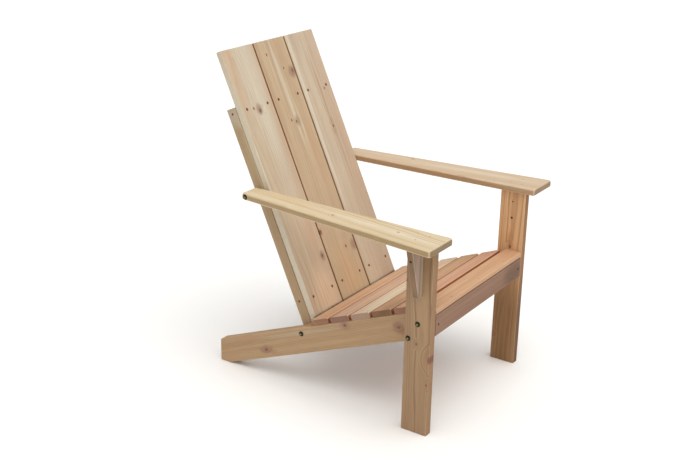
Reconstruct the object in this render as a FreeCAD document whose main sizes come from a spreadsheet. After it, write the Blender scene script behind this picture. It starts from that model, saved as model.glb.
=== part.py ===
import FreeCAD, Part
import math
import os

import Sketcher

# A flat-back adirondack chair in dressed cedar boards, bolted and screwed together.
# Frame: millimetres, +Z up, the chair faces -Y, and the sitter's left hand is at +X.
# The origin is at the middle of the chair's outline on the ground.

doc = FreeCAD.newDocument("AdirondackChair")

SIDES = {"left": 1, "right": -1}
SEAT_SLATS = 5
BACK_PLANKS = {"right": -1, "middle": 0, "left": 1}

# ---------------------------------------------------------------- driving sizes

DRIVING_SIZES = [
    ("seat_width", 494),          # over the outer faces of the two side rails
    ("seat_depth", 405.4),        # front of the legs to the face of the back, at the seat
    ("seat_slope", 22.15),        # degrees that the seat falls towards the back
    ("fit_gap", 0.5),             # clearance where one board slips between two others
    ("edge_round", 2.5),          # eased edges of the frame boards
    ("end_round", 1),             # eased edges of sawn ends
    ("leg_width", 78),
    ("leg_thickness", 25),
    ("leg_length", 541),          # ground to the underside of the armrest
    ("rail_height", 75),
    ("rail_thickness", 32),
    ("rail_reach", 726),          # front of the legs to the rails' plumb back ends
    ("rail_foot", 34),            # flat on which a rail rests at the back
    ("rail_level", 47.1),         # run at which the rails' sloping top turns level
    ("apron_height", 59.5),
    ("apron_thickness", 19),
    ("slat_thickness", 17.5),
    ("slat_gap", 9.5),
    ("slat_round", 5),
    ("nose_round", 7),            # front edges of the front slat
    ("back_seat_gap", 5.5),       # between the back's face and the rearmost slat
    ("front_slat_width", 53),
    ("front_slat_gap", 18.04),    # level distance from the front slat to the first sloping one
    ("plank_thickness", 19),
    ("plank_gap", 5.4),
    ("back_side_gap", 2.25),      # between the back's side edges and the rails' inner faces
    ("plank_rise", 782),          # length of a plank above the seat
    ("plank_foot", 45),           # length of a plank below the seat
    ("back_lean", 24.54),         # degrees that the back leans from the vertical
    ("upright_width", 38),
    ("upright_depth", 32),
    ("upright_rise", 625),
    ("upright_foot", 66),
    ("cleat_height", 32),         # the two cross rails behind the planks
    ("lower_cleat_rise", 53),     # middle of the lower cross rail above the seat
    ("arm_thickness", 20),
    ("arm_overhang", 32),         # beyond the front of the legs
    ("arm_front_width", 115),
    ("arm_rear_width", 64),
    ("arm_inner_inset", 13),      # an arm's inner front corner, inside the rail's outer face
    ("arm_seat", 52),             # straight part of an arm's inner edge, at the upright
    ("arm_end_inset", 3),         # an arm's rear end, in front of the upright's back
    ("arm_round", 6),
    ("arm_corner", 9),            # rounding of an arm's corners seen from above
    ("bracket_thickness", 19),
    ("bracket_height", 144),
    ("bracket_top", 58),          # reach of a bracket under the armrest
    ("bracket_tip", 17),          # reach of a bracket at its lower end
    ("bolt_thickness", 6.35),
    ("bolt_clearance", 0.4),
    ("bolt_head_width", 15.1),
    ("bolt_head_height", 3.7),
    ("spot_face_depth", 0.5),     # flat cut for a bolt's head in an arm's slanting edge
    ("spot_face_clearance", 1),
    ("washer_width", 16),
    ("washer_thickness", 1.4),
    ("nut_width", 11.1),          # across the flats
    ("nut_thickness", 5.6),
    ("bolt_tail", 3),             # thread that shows past the nut
    ("high_bolt_rise", 52.6),     # leg bolts above the rail's lower edge, measured plumb
    ("low_bolt_rise", 16.4),
    ("low_bolt_inset", 12),       # lower leg bolt from the leg's back edge
    ("foot_bolt_drop", 33),       # upright's bolt below the seat, along the upright
    ("foot_bolt_offset", 5),      # the same bolt behind the upright's middle
    ("screw_thickness", 4),
    ("screw_clearance", 0.2),
    ("screw_head_width", 6.6),
    ("screw_head_height", 1.8),
    ("screw_recess", 1.6),        # screw heads below the surface
    ("screw_drive", 2.6),         # square socket in a screw's head
    ("plank_screw_inset", 22.85),  # plank screws from the edges of their plank
    ("screw_bite", 27),           # thread of a long screw in the second board
    ("short_bite", 12),           # thread of the plank and apron screws
    ("bracket_screw_drop", 33),   # upper bracket screw below the armrest
    ("bracket_screw_seat", 28),   # wood left under that screw's head
    ("bracket_bite", 20),         # thread of the bracket screws
    ("leg_screw_drop", 82),       # screw from inside the leg, below the armrest
    ("nail_thickness", 2.5),
    ("nail_clearance", 0.2),
    ("nail_head_width", 3.4),
    ("nail_head_height", 1),
    ("nail_bite", 24),
    ("pilot_spare", 1),           # depth of a pilot hole beyond its screw or nail
    ("nail_spread", 18),
    ("apron_nail_spread", 150),
]

# Places that follow from the sizes. The seam is the line where the face of the back
# meets the top of the seat; "run" is along the slope of the seat towards the back.
LAYOUT = [
    ("slope_sin", "sin(Sizes.seat_slope)"),
    ("slope_cos", "cos(Sizes.seat_slope)"),
    ("lean_sin", "sin(Sizes.back_lean)"),
    ("lean_cos", "cos(Sizes.back_lean)"),
    ("rail_outer", "Sizes.seat_width / 2"),
    ("rail_middle", "Layout.rail_outer - Sizes.rail_thickness / 2"),
    ("rail_inner", "Layout.rail_outer - Sizes.rail_thickness"),
    ("leg_middle", "Layout.rail_outer + Sizes.leg_thickness / 2"),
    ("leg_outer", "Layout.rail_outer + Sizes.leg_thickness"),
    ("rail_ground", "Sizes.rail_reach - Sizes.rail_foot"),
    ("rail_plumb", "Sizes.rail_height / Layout.slope_cos"),
    ("seam_low", "(Layout.rail_ground - Sizes.seat_depth) * tan(Sizes.seat_slope)"),
    ("seam_up", "Layout.seam_low + Layout.rail_plumb + Sizes.slat_thickness / Layout.slope_cos"),
    ("plank_width", "2 * (Layout.rail_inner - Sizes.back_side_gap - Sizes.plank_gap) / 3"),
    ("plank_pitch", "Layout.plank_width + Sizes.plank_gap"),
    ("plank_screw_spread", "Layout.plank_width / 2 - Sizes.plank_screw_inset"),
    ("slats_length", "(Sizes.seat_depth - Sizes.front_slat_width - Sizes.front_slat_gap)"
                     " / Layout.slope_cos - Sizes.back_seat_gap"),
    ("slat_width", f"(Layout.slats_length - {SEAT_SLATS - 1} * Sizes.slat_gap) / {SEAT_SLATS}"),
    ("slat_pitch", "Layout.slat_width + Sizes.slat_gap"),
    ("cleat_length", "2 * (Layout.rail_inner - Sizes.upright_width)"),
    ("cleat_back", "Sizes.plank_thickness + Sizes.upright_depth"),
    ("cleat_middle", "Sizes.plank_thickness + Sizes.upright_depth / 2"),
    ("upper_cleat_rise", "Sizes.upright_rise - Sizes.cleat_height / 2"),
    ("arm_top", "Sizes.leg_length + Sizes.arm_thickness"),
    ("arm_bolt_up", "Sizes.leg_length + Sizes.arm_thickness / 2"),
    ("arm_bolt_rise", "(Layout.arm_bolt_up - Layout.seam_up + Layout.cleat_middle * Layout.lean_sin)"
                      " / Layout.lean_cos"),
    ("arm_bolt_run", "Sizes.seat_depth + Layout.arm_bolt_rise * Layout.lean_sin"
                     " + Layout.cleat_middle * Layout.lean_cos"),
    ("arm_end", "Layout.arm_bolt_run + Sizes.upright_depth / 2 / Layout.lean_cos"
                " - Sizes.arm_end_inset"),
    ("arm_inner_front", "Layout.rail_outer - Sizes.arm_inner_inset"),
    ("arm_outer_front", "Layout.arm_inner_front + Sizes.arm_front_width"),
    ("arm_outer_rear", "Layout.rail_inner + Sizes.arm_rear_width"),
    ("arm_taper", "(Layout.arm_outer_front - Layout.arm_outer_rear)"
                  " / (Layout.arm_end + Sizes.arm_overhang)"),
    ("arm_bolt_head", "Layout.arm_outer_rear - Layout.arm_taper * Sizes.bolt_head_width / 2"
                      " - Sizes.spot_face_depth"
                      " + Layout.arm_taper * (Layout.arm_end - Layout.arm_bolt_run)"),
    ("high_bolt_up", "(Layout.rail_ground - Sizes.leg_width / 2) * tan(Sizes.seat_slope)"
                     " + Sizes.high_bolt_rise"),
    ("low_bolt_run", "Sizes.leg_width - Sizes.low_bolt_inset"),
    ("low_bolt_up", "(Layout.rail_ground - Layout.low_bolt_run) * tan(Sizes.seat_slope)"
                    " + Sizes.low_bolt_rise"),
    ("foot_bolt_depth", "Layout.cleat_middle + Sizes.foot_bolt_offset"),
    ("foot_bolt_run", "Sizes.seat_depth - Sizes.foot_bolt_drop * Layout.lean_sin"
                      " + Layout.foot_bolt_depth * Layout.lean_cos"),
    ("foot_bolt_up", "Layout.seam_up - Sizes.foot_bolt_drop * Layout.lean_cos"
                     " - Layout.foot_bolt_depth * Layout.lean_sin"),
    ("bolt_hole", "Sizes.bolt_thickness + Sizes.bolt_clearance"),
    ("spot_face_width", "Sizes.bolt_head_width + Sizes.spot_face_clearance"),
    ("screw_hole", "Sizes.screw_thickness + Sizes.screw_clearance"),
    ("screw_head_hole", "Sizes.screw_head_width + 2 * Sizes.screw_clearance"),
    ("screw_head_seat", "Sizes.screw_recess + Sizes.screw_head_height"),
    ("nail_hole", "Sizes.nail_thickness + Sizes.nail_clearance"),
    ("nail_head_hole", "Sizes.nail_head_width + Sizes.nail_clearance"),
    ("nail_pilot", "Sizes.nail_bite + Sizes.pilot_spare"),
    ("short_pilot", "Sizes.short_bite + Sizes.pilot_spare"),
    ("long_pilot", "Sizes.screw_bite + Sizes.pilot_spare"),
    ("bracket_pilot", "Sizes.bracket_bite + Sizes.pilot_spare"),
    ("apron_top", "(Layout.rail_ground - Sizes.rail_level) * tan(Sizes.seat_slope)"
                  " + Layout.rail_plumb"),
    ("apron_middle", "Layout.apron_top - Sizes.apron_height / 2"),
    ("front_slat_top", "Layout.apron_top + Sizes.slat_thickness"),
    ("bracket_screw_up", "Sizes.leg_length - Sizes.bracket_screw_drop"),
    ("leg_screw_up", "Sizes.leg_length - Sizes.leg_screw_drop"),
    ("back_end", "Sizes.seat_depth + (Sizes.plank_rise - Sizes.edge_round) * Layout.lean_sin"
                 " + (Sizes.plank_thickness - Sizes.edge_round) * Layout.lean_cos"
                 " + Sizes.edge_round"),
    ("middle_run", "(Layout.back_end - Sizes.arm_overhang) / 2"),
]


def fill_sheet(name, rows):
    sheet = doc.addObject("Spreadsheet::Sheet", name)
    for row, (alias, content) in enumerate(rows, start=1):
        sheet.set(f"A{row}", alias)
        sheet.setAlias(f"B{row}", alias)
        sheet.set(f"B{row}", content)
    doc.recompute()
    return sheet


fill_sheet("Sizes", [(alias, str(number)) for alias, number in DRIVING_SIZES])
layout = fill_sheet("Layout", [(alias, "=" + formula) for alias, formula in LAYOUT])


def value(expression):
    """The number that an expression on the sheets comes to."""
    return float(layout.evalExpression(str(expression)))


# ---------------------------------------------------------------- shared helpers

def new_body(label, frame):
    """A body in one of the three frames: level, along the seat, or up the back."""
    body = doc.addObject("PartDesign::Body", label)
    tilt = {"level": None, "seat": "-Sizes.seat_slope", "back": "-Sizes.back_lean"}[frame]
    if tilt is None:
        body.setExpression("Placement.Base.y", "-Layout.middle_run")
        return body
    turned = FreeCAD.Rotation(FreeCAD.Vector(1, 0, 0), value(tilt))
    body.Placement = FreeCAD.Placement(FreeCAD.Vector(0, 0, 0), turned)
    body.setExpression("Placement.Rotation.Angle", tilt)
    body.setExpression("Placement.Base.y", "Sizes.seat_depth - Layout.middle_run")
    body.setExpression("Placement.Base.z", "Layout.seam_up")
    return body


def new_sketch(body, plane, start=None):
    """A sketch on one of the body's origin planes, or at a distance along its normal."""
    support = next(item for item in body.Origin.OriginFeatures if item.Role == plane)
    sketch = body.newObject("Sketcher::SketchObject", f"{body.Label}_sketch")
    sketch.AttachmentSupport = [(support, "")]
    sketch.MapMode = "FlatFace"
    if start is not None:
        sketch.setExpression("AttachmentOffset.Base.z", start)
    return sketch


def fix_point(sketch, geometry, point, across, up):
    """Hold one point of a sketch at a distance from the sketch's origin."""
    for kind, distance in (("DistanceX", across), ("DistanceY", up)):
        place = Sketcher.Constraint(kind, -1, 1, geometry, point, value(distance))
        sketch.setExpression(f"Constraints[{sketch.addConstraint(place)}]", distance)


def add_outline(sketch, corners):
    """A closed outline of straight lines through the corners."""
    points = [FreeCAD.Vector(value(across), value(up), 0) for across, up in corners]
    count = len(points)
    for number in range(count):
        sketch.addGeometry(Part.LineSegment(points[number], points[(number + 1) % count]), False)
    for number in range(count):
        joined = Sketcher.Constraint("Coincident", number, 2, (number + 1) % count, 1)
        sketch.addConstraint(joined)
    for number, (across, up) in enumerate(corners):
        fix_point(sketch, number, 1, across, up)


def rectangle(left, right, bottom, top):
    return [(left, bottom), (right, bottom), (right, top), (left, top)]


def pad(body, sketch, length, symmetric=True, flip=False):
    feature = body.newObject("PartDesign::Pad", f"{body.Label}_pad")
    feature.Profile = sketch
    feature.setExpression("Length", length)
    feature.SideType = "Symmetric" if symmetric else "One side"
    feature.Reversed = flip
    doc.recompute()
    return feature


def round_edges(body, radius, chosen=None):
    """Ease the edges that the chooser accepts, or every edge."""
    base = body.Tip
    names = [
        f"Edge{number}"
        for number, edge in enumerate(base.Shape.Edges, start=1)
        if chosen is None or chosen(edge)
    ]
    feature = body.newObject("PartDesign::Fillet", f"{body.Label}_round")
    feature.Base = (base, names)
    feature.setExpression("Radius", radius)
    doc.recompute()
    return feature


def drill(body, plane, centres, width, depth=None, start=None, flip=False):
    """Round holes right through, or down to a depth from a starting plane."""
    cut_holes(body, new_sketch(body, plane, start), centres, width, depth, flip)


def cut_holes(body, sketch, centres, width, depth=None, flip=False):
    before = body.Shape.Volume
    for across, up in centres:
        middle = FreeCAD.Vector(value(across), value(up), 0)
        circle = sketch.addGeometry(
            Part.Circle(middle, FreeCAD.Vector(0, 0, 1), value(width) / 2), False
        )
        fix_point(sketch, circle, 3, across, up)
        size = Sketcher.Constraint("Diameter", circle, value(width))
        sketch.setExpression(f"Constraints[{sketch.addConstraint(size)}]", width)
    feature = body.newObject("PartDesign::Pocket", f"{body.Label}_holes")
    feature.Profile = sketch
    if depth is None:
        feature.Type = "ThroughAll"
        feature.SideType = "Symmetric"
    else:
        feature.Type = "Length"
        feature.SideType = "One side"
        feature.Reversed = flip
        feature.setExpression("Length", depth)
    doc.recompute()
    if not body.Shape.Volume < before - 1e-6:
        raise RuntimeError(f"a hole in {body.Label} removes nothing")
    return feature


def runs_along(axis):
    """Chooses straight edges that are parallel to an axis."""
    def chosen(edge):
        if len(edge.Vertexes) != 2:
            return False
        first, last = (vertex.Point for vertex in edge.Vertexes)
        return abs(abs((last - first).normalize().dot(axis)) - 1) < 1e-6
    return chosen


ACROSS = FreeCAD.Vector(1, 0, 0)
UP = FreeCAD.Vector(0, 0, 1)


def at_ends(body, axis):
    """Chooses the edges that lie wholly in either end face of a board."""
    places = [vertex.Point.dot(axis) for vertex in body.Tip.Shape.Vertexes]
    ends = (min(places), max(places))

    def chosen(edge):
        along = [vertex.Point.dot(axis) for vertex in edge.Vertexes]
        return any(all(abs(place - end) < 1e-6 for place in along) for end in ends)
    return chosen


def in_seat(run, up):
    """A level point, given from the front of the legs and the ground, in the seat's frame."""
    back = f"(({run}) - Sizes.seat_depth)"
    rise = f"(({up}) - Layout.seam_up)"
    along = f"{back} * Layout.slope_cos - {rise} * Layout.slope_sin"
    above = f"{back} * Layout.slope_sin + {rise} * Layout.slope_cos"
    return along, above


# ---------------------------------------------------------------- places of slats and nails

def slat_span(number):
    """Rear and front edges of a seat slat, counted from the back, along the slope."""
    rear = f"-(Sizes.back_seat_gap + {number} * Layout.slat_pitch)"
    return rear, f"{rear} - Layout.slat_width"


def slat_nail_runs(number):
    rear, front = slat_span(number)
    middle = f"({rear} + {front}) / 2"
    return [f"{middle} - Sizes.nail_spread", f"{middle} + Sizes.nail_spread"]


# ---------------------------------------------------------------- front legs

def make_leg(side, sign):
    body = new_body(f"{side}_front_leg", "level")
    body.setExpression("Placement.Base.x", f"{sign} * Layout.leg_middle")
    profile = new_sketch(body, "YZ_Plane")
    add_outline(profile, rectangle("0", "Sizes.leg_width", "0", "Sizes.leg_length"))
    pad(body, profile, "Sizes.leg_thickness")
    round_edges(body, "Sizes.edge_round", runs_along(UP))
    round_edges(body, "Sizes.end_round", at_ends(body, UP))
    bolts = [("Sizes.leg_width / 2", "Layout.high_bolt_up"),
             ("Layout.low_bolt_run", "Layout.low_bolt_up")]
    drill(body, "YZ_Plane", bolts, "Layout.bolt_hole")
    screws = [("Sizes.leg_width / 2", "Layout.bracket_screw_up"),
              ("Sizes.leg_width / 2", "Layout.leg_screw_up")]
    drill(body, "YZ_Plane", screws, "Layout.screw_hole")
    # The lower bracket screw is driven from the leg's inner face.
    drill(body, "YZ_Plane", screws[1:], "Layout.screw_head_hole", "Layout.screw_head_seat",
          start=f"{-sign} * Sizes.leg_thickness / 2", flip=sign > 0)
    nails = [("0", "Sizes.leg_width / 2 - Sizes.nail_spread"),
             ("0", "Sizes.leg_width / 2 + Sizes.nail_spread")]
    drill(body, "XY_Plane", nails, "Layout.nail_hole", "Layout.nail_pilot",
          start="Sizes.leg_length")
    return body


# ---------------------------------------------------------------- side rails

def make_side_rail(side, sign):
    """A board on edge: it slopes with the seat and its back end rests on the ground."""
    body = new_body(f"{side}_side_rail", "seat")
    body.setExpression("Placement.Base.x", f"{sign} * Layout.rail_middle")
    front = "Sizes.apron_thickness"
    slope = "tan(Sizes.seat_slope)"
    rear_top = f"Sizes.rail_foot * -1 * {slope} + Layout.rail_plumb"
    corners = [
        in_seat("Layout.rail_ground", "0"),
        in_seat("Sizes.rail_reach", "0"),
        in_seat("Sizes.rail_reach", rear_top),
        in_seat("Sizes.rail_level", "Layout.apron_top"),
        in_seat(front, "Layout.apron_top"),
        in_seat(front, f"(Layout.rail_ground - {front}) * {slope}"),
    ]
    profile = new_sketch(body, "YZ_Plane")
    add_outline(profile, corners)
    pad(body, profile, "Sizes.rail_thickness")
    round_edges(body, "Sizes.edge_round", lambda edge: not runs_along(ACROSS)(edge))
    bolts = [in_seat("Sizes.leg_width / 2", "Layout.high_bolt_up"),
             in_seat("Layout.low_bolt_run", "Layout.low_bolt_up"),
             in_seat("Layout.foot_bolt_run", "Layout.foot_bolt_up")]
    drill(body, "YZ_Plane", bolts, "Layout.bolt_hole")
    nails = [("0", run) for number in range(SEAT_SLATS) for run in slat_nail_runs(number)]
    drill(body, "XY_Plane", nails, "Layout.nail_hole", "Layout.nail_pilot",
          start="-Sizes.slat_thickness")
    # The apron's screw enters the plumb front end, level with the ground.
    end = new_sketch(body, "XZ_Plane")
    turned = FreeCAD.Rotation(ACROSS, value("Sizes.seat_slope"))
    end.AttachmentOffset = FreeCAD.Placement(FreeCAD.Vector(0, 0, 0), turned)
    along, above = in_seat(front, "Layout.apron_middle")
    end.setExpression("AttachmentOffset.Rotation.Angle", "Sizes.seat_slope")
    end.setExpression("AttachmentOffset.Base.y", above)
    end.setExpression("AttachmentOffset.Base.z", f"-({along})")
    cut_holes(body, end, [("0", "0")], "Layout.screw_hole", "Layout.short_pilot")
    return body


# ---------------------------------------------------------------- apron

def make_apron():
    body = new_body("front_apron", "level")
    half = "(Layout.rail_outer - Sizes.fit_gap)"
    profile = new_sketch(body, "XZ_Plane")
    add_outline(profile, rectangle(f"-{half}", half,
                                   "Layout.apron_top - Sizes.apron_height", "Layout.apron_top"))
    pad(body, profile, "Sizes.apron_thickness", symmetric=False, flip=True)
    round_edges(body, "Sizes.edge_round", runs_along(ACROSS))
    screws = [(f"{sign} * Layout.rail_middle", "Layout.apron_middle")
              for sign in SIDES.values()]
    drill(body, "XZ_Plane", screws, "Layout.screw_hole")
    drill(body, "XZ_Plane", screws, "Layout.screw_head_hole", "Layout.screw_head_seat")
    nails = [(f"{place} * Sizes.apron_nail_spread", "Sizes.apron_thickness / 2")
             for place in (-1, 0, 1)]
    drill(body, "XY_Plane", nails, "Layout.nail_hole", "Layout.nail_pilot",
          start="Layout.apron_top")
    return body


# ---------------------------------------------------------------- seat slats

def make_seat_slat(number):
    body = new_body(f"seat_slat_{number + 1}", "seat")
    rear, front = slat_span(number)
    profile = new_sketch(body, "YZ_Plane")
    add_outline(profile, rectangle(front, rear, "-Sizes.slat_thickness", "0"))
    pad(body, profile, "Sizes.seat_width - 2 * Sizes.fit_gap")
    round_edges(body, "Sizes.slat_round", runs_along(ACROSS))
    round_edges(body, "Sizes.end_round", at_ends(body, ACROSS))
    nails = [(f"{sign} * Layout.rail_middle", run)
             for sign in SIDES.values() for run in slat_nail_runs(number)]
    drill(body, "XY_Plane", nails, "Layout.nail_hole")
    drill(body, "XY_Plane", nails, "Layout.nail_head_hole", "Sizes.nail_head_height")
    return body


def make_front_slat():
    """The front slat lies level on the apron, with a well rounded nose."""
    body = new_body("front_seat_slat", "level")
    profile = new_sketch(body, "YZ_Plane")
    add_outline(profile, rectangle("0", "Sizes.front_slat_width",
                                   "Layout.apron_top", "Layout.front_slat_top"))
    pad(body, profile, "Sizes.seat_width - 2 * Sizes.fit_gap")

    def is_long_edge(at_front):
        return lambda edge: (runs_along(ACROSS)(edge)
                             and (abs(edge.Vertexes[0].Point.y) < 1e-6) == at_front)

    round_edges(body, "Sizes.nose_round", is_long_edge(True))
    round_edges(body, "Sizes.slat_round", is_long_edge(False))
    round_edges(body, "Sizes.end_round", at_ends(body, ACROSS))
    drill(body, "XY_Plane", front_slat_nails(), "Layout.nail_hole")
    drill(body, "XY_Plane", front_slat_nails(), "Layout.nail_head_hole",
          "Sizes.nail_head_height", start="Layout.front_slat_top")
    return body


def front_slat_nails():
    return [(f"{place} * Sizes.apron_nail_spread", "Sizes.apron_thickness / 2")
            for place in (-1, 0, 1)]


# ---------------------------------------------------------------- back

def plank_middle(place):
    return f"{place} * Layout.plank_pitch"


def plank_screws(place):
    return [(f"{plank_middle(place)} + {step} * Layout.plank_screw_spread", rise)
            for rise in ("Sizes.lower_cleat_rise", "Layout.upper_cleat_rise")
            for step in (-1, 1)]


def make_back_plank(name, place):
    body = new_body(f"back_plank_{name}", "back")
    left = f"{plank_middle(place)} - Layout.plank_width / 2"
    right = f"{plank_middle(place)} + Layout.plank_width / 2"
    profile = new_sketch(body, "XZ_Plane")
    add_outline(profile, rectangle(left, right, "-Sizes.plank_foot", "Sizes.plank_rise"))
    pad(body, profile, "Sizes.plank_thickness", symmetric=False, flip=True)
    round_edges(body, "Sizes.edge_round")
    drill(body, "XZ_Plane", plank_screws(place), "Layout.screw_hole")
    drill(body, "XZ_Plane", plank_screws(place), "Layout.screw_head_hole",
          "Layout.screw_head_seat")
    return body


def make_upright(side, sign):
    body = new_body(f"{side}_back_upright", "back")
    body.setExpression("Placement.Base.x",
                       f"{sign} * (Layout.rail_inner - Sizes.upright_width / 2)")
    profile = new_sketch(body, "YZ_Plane")
    add_outline(profile, rectangle("Sizes.plank_thickness", "Layout.cleat_back",
                                   "-Sizes.upright_foot", "Sizes.upright_rise"))
    pad(body, profile, "Sizes.upright_width")
    round_edges(body, "Sizes.edge_round", runs_along(UP))
    round_edges(body, "Sizes.end_round", at_ends(body, UP))
    bolts = [("Layout.foot_bolt_depth", "-Sizes.foot_bolt_drop"),
             ("Layout.cleat_middle", "Layout.arm_bolt_rise")]
    drill(body, "YZ_Plane", bolts, "Layout.bolt_hole")
    screws = [("Layout.cleat_middle", "Sizes.lower_cleat_rise"),
              ("Layout.cleat_middle", "Layout.upper_cleat_rise")]
    drill(body, "YZ_Plane", screws, "Layout.screw_hole")
    drill(body, "YZ_Plane", screws, "Layout.screw_head_hole", "Layout.screw_head_seat",
          start=f"{sign} * Sizes.upright_width / 2", flip=sign < 0)
    middle = "Layout.rail_inner - Sizes.upright_width / 2"
    planks = [(f"{sign} * (Layout.plank_pitch + Layout.plank_screw_spread - ({middle}))", rise)
              for rise in ("Sizes.lower_cleat_rise", "Layout.upper_cleat_rise")]
    drill(body, "XZ_Plane", planks, "Layout.screw_hole", "Layout.short_pilot",
          start="-Sizes.plank_thickness")
    return body


def make_cleat(label, rise):
    """A cross rail between the uprights, to which the planks are screwed."""
    body = new_body(label, "back")
    profile = new_sketch(body, "YZ_Plane")
    add_outline(profile, rectangle("Sizes.plank_thickness", "Layout.cleat_back",
                                   f"{rise} - Sizes.cleat_height / 2",
                                   f"{rise} + Sizes.cleat_height / 2"))
    pad(body, profile, "Layout.cleat_length")
    round_edges(body, "Sizes.edge_round", runs_along(ACROSS))
    for sign in SIDES.values():
        drill(body, "YZ_Plane", [("Layout.cleat_middle", rise)], "Layout.screw_hole",
              "Layout.long_pilot", start=f"{sign} * Layout.cleat_length / 2", flip=sign < 0)
    inner = [(across, up) for place in BACK_PLANKS.values()
             for across, up in plank_screws(place)
             if up == rise and abs(value(across)) < value("Layout.cleat_length / 2")]
    drill(body, "XZ_Plane", inner, "Layout.screw_hole", "Layout.short_pilot",
          start="-Sizes.plank_thickness")
    return body


# ---------------------------------------------------------------- armrests and brackets

def make_armrest(side, sign):
    body = new_body(f"{side}_armrest", "level")
    body.setExpression("Placement.Base.z", "Sizes.leg_length")
    straight = "Layout.arm_end - Sizes.arm_seat"
    corners = [
        (f"{sign} * Layout.arm_inner_front", "-Sizes.arm_overhang"),
        (f"{sign} * Layout.arm_outer_front", "-Sizes.arm_overhang"),
        (f"{sign} * Layout.arm_outer_rear", "Layout.arm_end"),
        (f"{sign} * Layout.rail_inner", "Layout.arm_end"),
        (f"{sign} * Layout.rail_inner", straight),
    ]
    plan = new_sketch(body, "XY_Plane")
    add_outline(plan, corners)
    pad(body, plan, "Sizes.arm_thickness", symmetric=False)
    outer_corners = [value(corner[0]) for corner in corners[:3]]

    def is_outer_corner(edge):
        across = edge.Vertexes[0].Point.x
        return runs_along(UP)(edge) and any(abs(across - x) < 1e-6 for x in outer_corners)

    round_edges(body, "Sizes.arm_corner", is_outer_corner)
    contact = value(f"{sign} * Layout.rail_inner")

    def is_rim(edge):
        ends = [vertex.Point for vertex in edge.Vertexes]
        level = all(abs(point.z - ends[0].z) < 1e-6 for point in ends)
        at_upright = all(abs(point.x - contact) < 1e-6 for point in ends)
        return level and not at_upright

    round_edges(body, "Sizes.arm_round", is_rim)
    bolt = [("Layout.arm_bolt_run", "Sizes.arm_thickness / 2")]
    drill(body, "YZ_Plane", bolt, "Layout.bolt_hole")
    # A spot face squares the slanting edge to the bolt's head.
    drill(body, "YZ_Plane", bolt, "Layout.spot_face_width", "Sizes.arm_rear_width",
          start=f"{sign} * Layout.arm_bolt_head", flip=sign > 0)
    drill(body, "XY_Plane", arm_nails(sign), "Layout.nail_hole")
    drill(body, "XY_Plane", arm_nails(sign), "Layout.nail_head_hole",
          "Sizes.nail_head_height", start="Sizes.arm_thickness")
    return body


def arm_nails(sign):
    in_leg = [(f"{sign} * Layout.leg_middle", f"Sizes.leg_width / 2 + {step} * Sizes.nail_spread")
              for step in (-1, 1)]
    in_bracket = [(f"{sign} * (Layout.leg_outer + Sizes.bracket_top / 2)", "Sizes.leg_width / 2")]
    return in_leg + in_bracket


def make_arm_bracket(side, sign):
    """A tapered block on the outside of a leg, under the armrest's overhang."""
    body = new_body(f"{side}_arm_bracket", "level")
    low = "Sizes.leg_length - Sizes.bracket_height"
    corners = [
        (f"{sign} * Layout.leg_outer", low),
        (f"{sign} * (Layout.leg_outer + Sizes.bracket_tip)", low),
        (f"{sign} * (Layout.leg_outer + Sizes.bracket_top)", "Sizes.leg_length"),
        (f"{sign} * Layout.leg_outer", "Sizes.leg_length"),
    ]
    profile = new_sketch(body, "XZ_Plane", start="-Sizes.leg_width / 2")
    add_outline(profile, corners)
    pad(body, profile, "Sizes.bracket_thickness")
    contact = value(f"{sign} * Layout.leg_outer")
    top = value("Sizes.leg_length")

    def is_free(edge):
        ends = [vertex.Point for vertex in edge.Vertexes]
        on_leg = all(abs(point.x - contact) < 1e-6 for point in ends)
        under_arm = all(abs(point.z - top) < 1e-6 for point in ends)
        return not on_leg and not under_arm

    round_edges(body, "Sizes.edge_round", is_free)
    middle = "Sizes.leg_width / 2"
    drill(body, "YZ_Plane", [(middle, "Layout.bracket_screw_up")], "Layout.screw_hole")
    drill(body, "YZ_Plane", [(middle, "Layout.bracket_screw_up")], "Layout.screw_head_hole",
          "Sizes.bracket_top", start=f"{sign} * (Layout.leg_outer + Sizes.bracket_screw_seat)",
          flip=sign > 0)
    drill(body, "YZ_Plane", [(middle, "Layout.leg_screw_up")], "Layout.screw_hole",
          "Layout.bracket_pilot", start=f"{sign} * Layout.leg_outer", flip=sign > 0)
    drill(body, "XY_Plane", arm_nails(sign)[2:], "Layout.nail_hole",
          "Layout.nail_pilot", start="Sizes.leg_length")
    return body


# ---------------------------------------------------------------- fasteners
# A group of identical fasteners is one compound of separate solids, which copies a
# revolved pattern onto each place. The pattern points along +Z with its head below 0.

def revolved(points):
    """A solid of revolution about Z from a half outline, given as distance and height."""
    corners = [FreeCAD.Vector(across, 0, up) for across, up in points]
    face = Part.Face(Part.makePolygon(corners + corners[:1]))
    return face.revolve(FreeCAD.Vector(0, 0, 0), FreeCAD.Vector(0, 0, 1), 360)


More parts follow.
